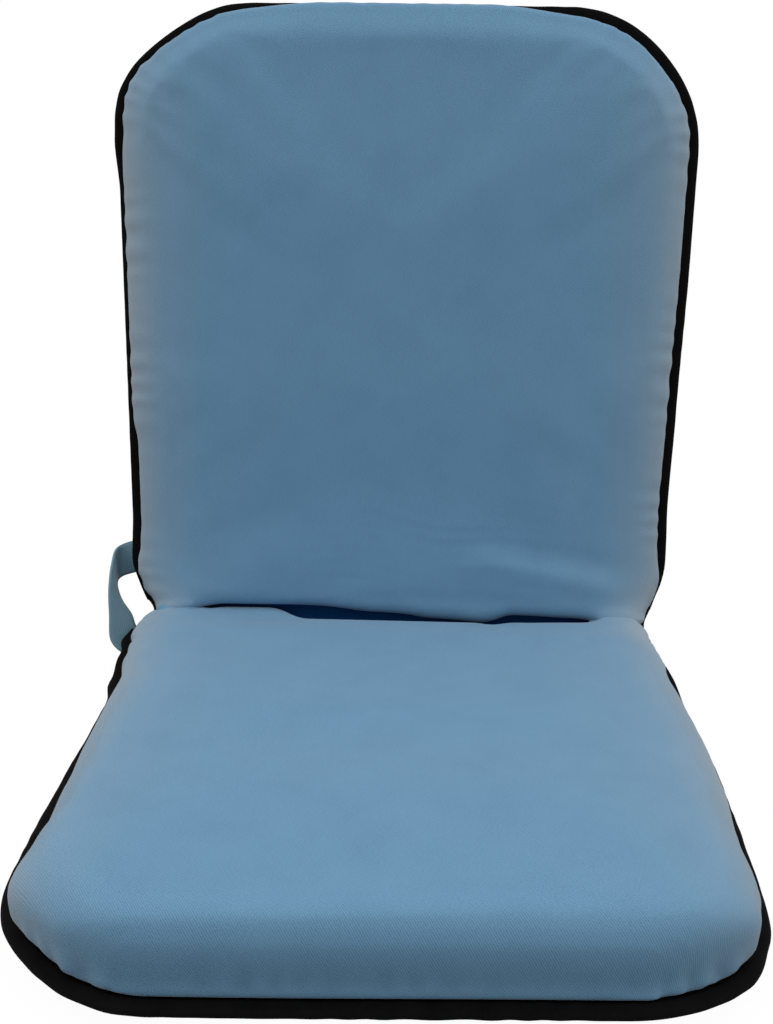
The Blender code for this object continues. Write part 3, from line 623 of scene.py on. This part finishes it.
BACK = PadForm(0.450, 0.045, 0.046, 0.044, 0.0, 0.0)
back_pad = stuffed_pad("back_cushion", BACK, back_hinge_end, back_overhang)
points = points_of(back_pad)
normals = normals_of(back_pad)
u, v, w = points.T
rim = ridge(BACK.inside(u, v), 0.015) * (normals[:, 2] > -0.4)
lift = (0.0008 - 0.0005 * smooth((v - 0.40) / 0.03)) * gathers(BACK.along(u, v) + 1.9) * rim
front = smooth((normals[:, 2] - 0.3) / 0.4)
sag = 0.050 - 0.28 * np.maximum(u - 0.068, 0) + 0.10 * (u - 0.068)
fold = smooth((u - 0.030) / 0.060) * smooth((0.185 - u) / 0.030)
lift = lift + front * fold * (0.0018 * ridge(v - sag, 0.008) - 0.0012 * ridge(v - sag - 0.017, 0.009))
slack = front * smooth((u + 0.090) / 0.040) * smooth((0.140 - u) / 0.040)
slack = slack * smooth((v - 0.015) / 0.02) * smooth((0.120 - v) / 0.04)
ripple = np.sin(2 * np.pi * (v + 0.09 * u + 0.0022 * np.sin(u / 0.017)) / 0.0105 + 1.4 * np.sin(u / 0.031))
lift = lift + 0.00022 * slack * ripple * (0.6 + 0.4 * np.sin(u / 0.023 + v / 0.012))
set_points(back_pad, points + normals * lift[:, None])
finish_pad(back_pad, BACK, back_place, blue_cloth)
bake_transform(back_pad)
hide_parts("back_front_cover", "back_foam")


# Rear covers: black plain-weave cloth under the seat and behind the back, stretched over the frame tubes
# and sewn to the blue cloth all round, so it dips a little between the tubes.
CLOTH_THICKNESS = 0.0012
SEAT = PadForm(0.400, 0.080, 0.032, 0.0225, 0.52, 0.0110)


def threads(tree, flat, scale, wander, way):
    """Threads side by side on the flat cloth, running one way."""
    feeds = {"Vector": flat, "Scale": scale, "Distortion": wander}
    return node(tree, "ShaderNodeTexWave", feeds, bands_direction=way).outputs["Fac"]


def plain_weave(name, dark, light, gloss, fuzz):
    """Plain cloth: threads over and under, both ways."""
    finish, tree, shader = new_finish(name)
    flat = node(tree, "ShaderNodeTexCoord").outputs["UV"]
    warp = threads(tree, flat, 260.0, 0.5, "X")
    weft = threads(tree, flat, 260.0, 0.5, "Y")
    over = node(tree, "ShaderNodeMath", {0: warp, 1: weft}, operation="MULTIPLY")
    cloud = node(tree, "ShaderNodeTexNoise", {"Vector": flat, "Scale": 40.0, "Detail": 5.0})
    mixed = node(
        tree,
        "ShaderNodeMath",
        {0: cloud.outputs["Fac"], 1: 0.8, 2: over.outputs["Value"]},
        operation="MULTIPLY_ADD",
    )
    tone = two_tone(tree, mixed.outputs["Value"], 0.2, dark, 0.95, light)
    dress(tree, shader, tone, over.outputs["Value"], 0.5, 0.0003)
    shader.inputs["Roughness"].default_value = 0.88
    shader.inputs["Specular IOR Level"].default_value = gloss
    shader.inputs["Sheen Weight"].default_value = fuzz
    shader.inputs["Sheen Roughness"].default_value = 0.5
    return finish


black_cloth = plain_weave("black_plain_weave", (0.006, 0.006, 0.007), (0.018, 0.018, 0.020), 0.3, 0.12)


def stretched_cover(name, form, place, start):
    """A panel's rear cover with its brim in the seam, dipping between the tubes under it."""
    piece, across, along = new_grid(name, 90, 96)
    share = np.sin(across * np.pi / 2)
    v = start + (form.length + 0.0085 - start) * np.sin(along * np.pi / 2)
    u = share * form.half_plan(v, out=0.0085)
    inside = form.inside(u, v)
    w = form.underside(u, v)
    tube = ridge(inside - 0.028, 0.016)
    bar = ridge(v - 0.110, 0.016) * (np.abs(u) < 0.180)
    middle = smooth((inside - 0.020) / 0.03) * (1 - np.maximum(tube, bar))
    w = w + 0.0022 * middle
    set_points(piece, np.stack([u, v, w], axis=1))
    set_flat(piece, np.stack([u, v], axis=1))
    set_points(piece, place(points_of(piece)))
    bpy.ops.object.mode_set(mode="EDIT")
    bpy.ops.mesh.select_all(action="SELECT")
    bpy.ops.mesh.remove_doubles(threshold=0.00001)
    if place is back_place:
        bpy.ops.mesh.flip_normals()
    bpy.ops.object.mode_set(mode="OBJECT")
    apply(piece, "SOLIDIFY", thickness=CLOTH_THICKNESS, offset=-1.0)
    smooth_faces(piece)
    coat(piece, black_cloth)
    return piece


seat_under = stretched_cover("seat_underside", SEAT, seat_place, 0.009)
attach(seat_under, "seat")
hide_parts("seat_bottom_cover")
back_rear = stretched_cover("back_rear_cloth", BACK, back_place, 0.009)
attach(back_rear, "back")
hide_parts("back_rear_cover")


# Edge bindings: black woven tape folded over the brims of the two covers and stitched through, all round
# each panel. It is a rounded lip about 11 mm wide that waves a little with the gathers under it.
def tape_finish(name):
    """Black tape with fine ribs across it."""
    finish, tree, shader = new_finish(name)
    flat = node(tree, "ShaderNodeTexCoord").outputs["UV"]
    rib = threads(tree, flat, 330.0, 0.6, "X")
    cloud = node(tree, "ShaderNodeTexNoise", {"Vector": flat, "Scale": 90.0, "Detail": 4.0})
    mixed = node(
        tree,
        "ShaderNodeMath",
        {0: rib, 1: 0.5, 2: cloud.outputs["Fac"]},
        operation="MULTIPLY_ADD",
    )
    dark, light = (0.0010, 0.0010, 0.0012), (0.0045, 0.0045, 0.0050)
    tone = two_tone(tree, mixed.outputs["Value"], 0.3, dark, 0.95, light)
    dress(tree, shader, tone, rib, 0.45, 0.0002)
    shader.inputs["Roughness"].default_value = 0.9
    shader.inputs["Specular IOR Level"].default_value = 0.06
    return finish


black_tape = tape_finish("black_binding_tape")
TAPE_LIP = [(0.3, -1.6), (2.4, -2.3), (5.0, -2.5), (7.6, -2.4), (9.6, -2.0), (10.7, -1.0)]
TAPE_LIP = TAPE_LIP + [(11.0, 0.0)] + [(out, -rise) for out, rise in reversed(TAPE_LIP)]


def folded_tape(name, path, outward, length):
    """Sweeps the folded tape's rounded lip along a path, given the way out from the pad at each point."""
    rows = len(path) - 1
    count = len(TAPE_LIP)
    piece, across, along = new_grid(name, count, rows)
    column = np.rint((across + 1) / 2 * count).astype(int)
    row = np.rint(along * rows).astype(int)
    lip = np.array(TAPE_LIP + TAPE_LIP[:1]) / 1000
    heading = np.gradient(path, axis=0)
    heading /= np.linalg.norm(heading, axis=1)[:, None]
    up = np.cross(outward, heading)
    up /= np.linalg.norm(up, axis=1)[:, None]
    wave = 0.00035 * gathers(length * 0.8 + 0.4)
    plump = 1 + 0.06 * np.sin(length / 0.0135) * np.sin(length / 0.041)
    spots = path[row] + outward[row] * lip[column, :1]
    spots = spots + up[row] * (lip[column, 1:] * plump[row, None] + wave[row, None])
    set_points(piece, spots)
    girth = np.concatenate([[0], np.cumsum(np.linalg.norm(np.diff(lip, axis=0), axis=1))])
    set_flat(piece, np.stack([length[row], girth[column]], axis=1))
    bpy.ops.object.mode_set(mode="EDIT")
    bpy.ops.mesh.select_all(action="SELECT")
    bpy.ops.mesh.remove_doubles(threshold=0.000005)
    bpy.ops.mesh.select_all(action="DESELECT")
    bpy.ops.mesh.select_non_manifold()
    bpy.ops.mesh.fill_holes(sides=0)
    bpy.ops.mesh.select_all(action="SELECT")
    bpy.ops.mesh.normals_make_consistent(inside=False)
    bpy.ops.object.mode_set(mode="OBJECT")
    smooth_faces(piece)
    coat(piece, black_tape)
    return piece


def seam_line(form, start):
    """Points round a panel's seam about 3 mm apart, from hinge to hinge, with the way out at each."""
    turns = np.linspace(0, np.pi / 2, 46)
    corner = form.length - SEAM_RADIUS
    side_v = np.linspace(start, corner, 100)[:-1]
    side_u = form.half_width(side_v)
    arc_u = SEAM_HALF_WIDTH - SEAM_RADIUS * (1 - np.cos(turns))
    arc_v = corner + SEAM_RADIUS * np.sin(turns)
    right = np.stack([np.concatenate([side_u, arc_u]), np.concatenate([side_v, arc_v])], axis=1)
    far_u = np.linspace(arc_u[-1], -arc_u[-1], 78)[1:-1]
    far = np.stack([far_u, np.full(len(far_u), form.length)], axis=1)
    left = right[::-1] * [-1, 1]
    plan = np.concatenate([right, far, left])
    step = np.linalg.norm(np.diff(plan, axis=0), axis=1)
    length = np.concatenate([[0], np.cumsum(step)])
    along = np.gradient(plan, axis=0)
    along /= np.linalg.norm(along, axis=1)[:, None]
    out = np.stack([along[:, 1], -along[:, 0], np.zeros(len(along))], axis=1)
    path = np.stack([plan[:, 0], plan[:, 1], form.seam(plan[:, 1])], axis=1)
    return path, out, length


def bound_edge(name, form, place, start):
    path, out, length = seam_line(form, start)
    outward = place(path + out) - place(path)
    return folded_tape(name, place(path), outward, length)


seat_edge = bound_edge("seat_edge_binding", SEAT, seat_place, 0.016)
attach(seat_edge, "seat")
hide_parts("seat_binding")
back_edge = bound_edge("back_edge_binding", BACK, back_place, 0.016)
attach(back_edge, "back")
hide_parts("back_binding")


# Waist bindings: the same tape where it runs on past the hinge, from the seat's edge up to the back's.
def way_out(form, place, side, v):
    """The way straight out from a panel's seam at one side, in the chair's frame."""
    u = side * form.half_width(v)
    out_u, out_v = form.outward(u, v)
    seam = form.seam(v)
    return place([[u + out_u, v + out_v, seam]])[0] - place([[u, v, seam]])[0]


def waist_tape(name, side, pinch):
    """The tape from the seat's edge to the back's, past the hinge's end, pinched in there."""
    first = 0.018
    u = side * SEAT.half_width(first)
    seat_end = seat_place([[u, first, SEAT.seam(first)]])[0]
    u = side * BACK.half_width(first)
    back_end = back_place([[u, first, BACK.seam(first)]])[0]
    pull = 0.0085
    seat_pull = seat_end + [0, pull, 0.0]
    back_pull = back_end - np.array([0, math.sin(LEAN), math.cos(LEAN)]) * pull
    t = np.linspace(0, 1, 15)[:, None]
    path = seat_end * (1 - t) ** 3 + seat_pull * 3 * (1 - t) ** 2 * t
    path = path + back_pull * 3 * (1 - t) * t**2 + back_end * t**3
    path = path - np.sin(np.pi * t) * [side * pinch, 0, 0]
    step = np.linalg.norm(np.diff(path, axis=0), axis=1)
    length = np.concatenate([[0], np.cumsum(step)])
    tilt = math.radians(42) * np.sin(np.pi * t)
    ends = way_out(SEAT, seat_place, side, first) * (1 - t) + way_out(BACK, back_place, side, first) * t
    outward = np.cos(tilt) * ends + np.sin(tilt) * [0, 0.63, -0.78]
    outward /= np.linalg.norm(outward, axis=1)[:, None]
    piece = folded_tape(name, path, outward, length)
    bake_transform(piece)
    return piece


for side, hand, pinch in ((-1, "left", 0.0075), (1, "right", 0.0015)):
    tape = waist_tape(f"waist_tape_{hand}", side, pinch)
    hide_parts(f"waist_binding_{hand}")


# Cloth at the crease: the lining that closes the bottom of the crease between the two pads, the pads' blue
# cloth painted dark navy as painted shade, the blue sleeves over the hinges, and the black cloth round the
# heel from the underside to the rear.
def bent_cloth(name, columns, rows, spot, finish, outward):
    """A cloth bent past the hinge axis: spot gives each point from its place across and along."""
    piece, across, along = new_grid(name, columns, rows)
    points, flat = spot(across, along)
    set_points(piece, points)
    set_flat(piece, flat)
    if outward:
        bpy.ops.object.mode_set(mode="EDIT")
        bpy.ops.mesh.select_all(action="SELECT")
        bpy.ops.mesh.flip_normals()
        bpy.ops.object.mode_set(mode="OBJECT")
    apply(piece, "SOLIDIFY", thickness=CLOTH_THICKNESS, offset=-1.0)
    smooth_faces(piece)
    coat(piece, finish)
    return piece


def round_axis(u, radius, turn):
    """Points about the hinge axis, turned from the seat's direction up and over to the back's."""
    return np.stack([u, HINGE_Y - radius * np.cos(turn), HINGE_Z + radius * np.sin(turn)], axis=1)


def crease_spot(across, along):
    u = across * 0.155
    turn = math.radians(12) - along * math.radians(282)
    radius = 0.0120 + 0.0008 * np.sin(u / 0.009) * np.sin(np.pi * along)
    return round_axis(u, radius, turn), np.stack([u, -radius * turn], axis=1)


def heel_spot(across, along):
    u = np.sin(across * np.pi / 2) * 0.1884
    lead = 0.020
    arc = 0.0385 * math.radians(78)
    walk = -lead + along * (arc + 2 * lead)
    inner = SEAT.underside(u, np.full(len(u), 0.001)) + 0.0016
    radius = HINGE_Z - inner
    turn = -np.pi / 2 - np.clip(walk / arc, 0, 1) * math.radians(78)
    points = round_axis(u, radius, turn)
    seat_lead = np.maximum(-walk, 0)
    back_lead = np.maximum(walk - arc, 0)
    points[:, 1] += -seat_lead + back_lead * math.sin(LEAN)
    points[:, 2] += back_lead * math.cos(LEAN)
    edge = np.where(u < 0, -run_of(seat_lead, SEAT_LEFT_EDGE), 0)
    points[:, 0] += edge * near_edge(u)
    return points, np.stack([u, walk], axis=1)


# Painted shade: the crease's cloth is the pads' blue, coloured dark navy here for the shade deep in the
# crease, with no sheen.
painted_shade_lining = plain_weave("painted_shade_lining", (0.003, 0.037, 0.128), (0.008, 0.080, 0.245), 0.08, 0.0)
crease_cloth = bent_cloth("crease_cloth", 60, 24, crease_spot, painted_shade_lining, False)
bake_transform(crease_cloth)
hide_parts("crease_web")
heel_cloth = bent_cloth("heel_cloth", 80, 40, heel_spot, black_cloth, True)
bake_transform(heel_cloth)
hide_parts("rear_web")


def hinge_sleeve(name, side):
    """The cloth over one hinge, between the pads' ends: it shows most when the chair lies flat."""

    def spot(across, along):
        u = 0.152 + 0.0200 * (across + 1)
        reach = np.maximum(hinge_hump(u) - 0.0017, 0.002)
        turn = math.radians(-20) + along * math.radians(142)
        return round_axis(side * u, reach, turn), np.stack([side * u, 0.0150 * turn], axis=1)

    piece = bent_cloth(name, 30, 40, spot, blue_cloth, side < 0)
    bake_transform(piece)
    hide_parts(name.replace("sleeve", "cover"))


hinge_sleeve("hinge_sleeve_left", -1)
hinge_sleeve("hinge_sleeve_right", 1)


# Carry strap: 25 mm blue webbing, its ends sewn under the back's and the seat's left binding, with some
# slack, so that it bows out beside the hinge and twists from upright to lying.
def webbing_finish(name):
    """Ribbed webbing: cords along it, bound by picks across it."""
    finish, tree, shader = new_finish(name)
    flat = node(tree, "ShaderNodeTexCoord").outputs["UV"]
    cords = threads(tree, flat, 165.0, 0.3, "X")
    picks = threads(tree, flat, 260.0, 0.4, "Y")
    yarn = node(tree, "ShaderNodeTexNoise", {"Vector": flat, "Scale": 700.0, "Detail": 3.0})
    woven = node(tree, "ShaderNodeMath", {0: cords, 1: picks}, operation="MULTIPLY")
    mixed = node(
        tree,
        "ShaderNodeMath",
        {0: yarn.outputs["Fac"], 1: 0.7, 2: woven.outputs["Value"]},
        operation="MULTIPLY_ADD",
    )
    dark, light = (0.080, 0.178, 0.242), (0.160, 0.275, 0.345)
    tone = two_tone(tree, mixed.outputs["Value"], 0.2, dark, 1.0, light)
    dress(tree, shader, tone, woven.outputs["Value"], 0.35, 0.0003)
    shader.inputs["Roughness"].default_value = 0.8
    shader.inputs["Sheen Weight"].default_value = 0.15
    return finish


def strap_ends(form, place, v):
    """Points across a strap end, just under the outer edge of a panel's left binding."""
    u = -(form.half_width(v) + 0.0085)
    return place(np.stack([u, v, form.seam(v) - 0.0048], axis=1))


def through(points, share):
    """A smooth path through points spread evenly from 0 to 1."""
    points = np.array(points)
    ends = np.concatenate([[2 * points[0] - points[1]], points, [2 * points[-1] - points[-2]]])
    step = np.clip((share * (len(points) - 1)).astype(int), 0, len(points) - 2)
    t = (share * (len(points) - 1) - step)[:, None]
    a, b, c, d = (ends[step + k] for k in range(4))
    return b + 0.5 * t * (c - a + t * (2 * a - 5 * b + 4 * c - d + t * (3 * (b - c) + d - a)))


WEBBING_WIDTH = 0.025
WEBBING_LENGTH = 0.110
strap, across, along = new_grid("webbing_strap", 8, 60)
lines = -across / 2
reach = np.array([0.5, -0.5]) * WEBBING_WIDTH
back_end = strap_ends(BACK, back_place, 0.044 + reach)
seat_end = strap_ends(SEAT, seat_place, 0.021 - reach)
hidden = np.array([0.009, 0, 0])
outer = [back_end[0] + hidden, back_end[0], (-0.2268, 0.236, 0.0841), (-0.2250, 0.207, 0.0811)]
outer = outer + [(-0.2245, 0.190, 0.0665), (-0.2233, 0.180, 0.0495), (-0.2215, 0.170, 0.0330)]
outer = through(outer + [seat_end[1], seat_end[1] + hidden], along)
inner = [back_end[1] + hidden, back_end[1], (-0.2251, 0.230, 0.0604), (-0.2249, 0.215, 0.0598)]
inner = inner + [(-0.2195, 0.205, 0.0511), (-0.2117, 0.200, 0.0414), (-0.2070, 0.1925, 0.0350)]
inner = through(inner + [seat_end[0], seat_end[0] + hidden], along)
spots = inner * (0.5 - lines)[:, None] + outer * (0.5 + lines)[:, None]
set_points(strap, spots)
set_flat(strap, np.stack([lines * WEBBING_WIDTH, along * WEBBING_LENGTH], axis=1))
apply(strap, "SOLIDIFY", thickness=0.0016, offset=0.0)
smooth_faces(strap)
coat(strap, webbing_finish("blue_webbing_weave"))
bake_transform(strap)
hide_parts("carry_strap")


# Setting: the chair stands on a plain white floor in a white room, lit by a large soft light overhead and
# a warmer one on each side, seen from the front and above.
white_floor, tree, shader = new_finish("white_floor")
shader.inputs["Base Color"].default_value = (0.05, 0.05, 0.05, 1)
shader.inputs["Roughness"].default_value = 0.9
shader.inputs["Specular IOR Level"].default_value = 0.0
seen = node(tree, "ShaderNodeLightPath")
plain = node(
    tree,
    "ShaderNodeMath",
    {0: seen.outputs["Is Camera Ray"], 1: seen.outputs["Is Glossy Ray"]},
    operation="MAXIMUM",
)
white = node(tree, "ShaderNodeEmission", {"Color": (1, 1, 1, 1), "Strength": 0.96})
both = node(tree, "ShaderNodeAddShader", {0: shader.outputs["BSDF"], 1: white.outputs["Emission"]})
shown = node(
    tree,
    "ShaderNodeMixShader",
    {0: plain.outputs["Value"], 1: shader.outputs["BSDF"], 2: both.outputs["Shader"]},
)
tree.links.new(shown.outputs["Shader"], tree.nodes["Material Output"].inputs["Surface"])
bpy.ops.object.select_all(action="DESELECT")
bpy.ops.mesh.primitive_plane_add(size=14, location=(0, 0, -0.0004))
floor = bpy.context.object
floor.name = "floor"
bpy.ops.object.transform_apply(location=True, rotation=True, scale=True)
coat(floor, white_floor)

world = bpy.data.worlds.new("white_room")
bpy.context.scene.world = world
world.use_nodes = True
tree = world.node_tree
room = tree.nodes["Background"]
room.inputs["Color"].default_value = (1, 1, 1, 1)
seen = node(tree, "ShaderNodeLightPath")
shown = node(
    tree,
    "ShaderNodeMath",
    {0: seen.outputs["Is Camera Ray"], 1: seen.outputs["Is Glossy Ray"]},
    operation="MAXIMUM",
)
clear = node(
    tree,
    "ShaderNodeMath",
    {0: shown.outputs["Value"], 1: seen.outputs["Is Transmission Ray"]},
    operation="MAXIMUM",
)
outlook = node(tree, "ShaderNodeTexCoord")
heading = node(tree, "ShaderNodeSeparateXYZ", {"Vector": outlook.outputs["Generated"]})
ceiling = node(
    tree,
    "ShaderNodeMapRange",
    {"Value": heading.outputs["Z"], "From Min": 0.0, "From Max": 1.0, "To Min": 0.39, "To Max": 0.94},
)
level = node(
    tree,
    "ShaderNodeMapRange",
    {"Value": clear.outputs["Value"], "To Min": ceiling.outputs["Result"], "To Max": 1.0},
)
tree.links.new(level.outputs["Result"], room.inputs["Strength"])


def soft_light(name, size, power, place, turn, colour=(1, 1, 1)):
    light = bpy.data.lights.new(name, "AREA")
    light.shape = "RECTANGLE"
    light.size, light.size_y = size
    light.energy = power
    light.color = colour
    lamp = bpy.data.objects.new(name, light)
    bpy.context.scene.collection.objects.link(lamp)
    lamp.location = place
    lamp.rotation_euler = turn


soft_light("overhead", (1.8, 1.6), 4.5, (0, 0.05, 2.1), (0, 0, 0))
soft_light("left_side", (1.2, 1.4), 8.0, (-1.6, -0.2, 0.9), (0, math.radians(-65), 0), (1, 0.93, 0.84))
soft_light("right_side", (1.2, 1.4), 8.0, (1.6, -0.2, 0.9), (0, math.radians(65), 0), (1, 0.93, 0.84))

scene = bpy.context.scene
scene.view_settings.view_transform = "Standard"
lens = bpy.data.cameras.new("front_view")
camera = bpy.data.objects.new("front_view", lens)
scene.collection.objects.link(camera)
scene.camera = camera
PICTURE_HEIGHT = 1024
FOCAL_PIXELS = 1136.054
SENSOR = 36.0
lens.sensor_width = SENSOR
lens.lens = FOCAL_PIXELS / PICTURE_HEIGHT * SENSOR
lens.shift_x = -5.7362 / PICTURE_HEIGHT
lens.shift_y = 126.9132 / PICTURE_HEIGHT
facing = Euler((math.radians(90 - 26.1996), 0, math.radians(0.7477))).to_matrix()
facing = facing @ Matrix.Rotation(math.radians(0.8247), 3, "Z")
camera.matrix_world = Matrix.Translation((0.0075, HINGE_Y - 0.8179, HINGE_Z + 0.3864)) @ facing.to_4x4()
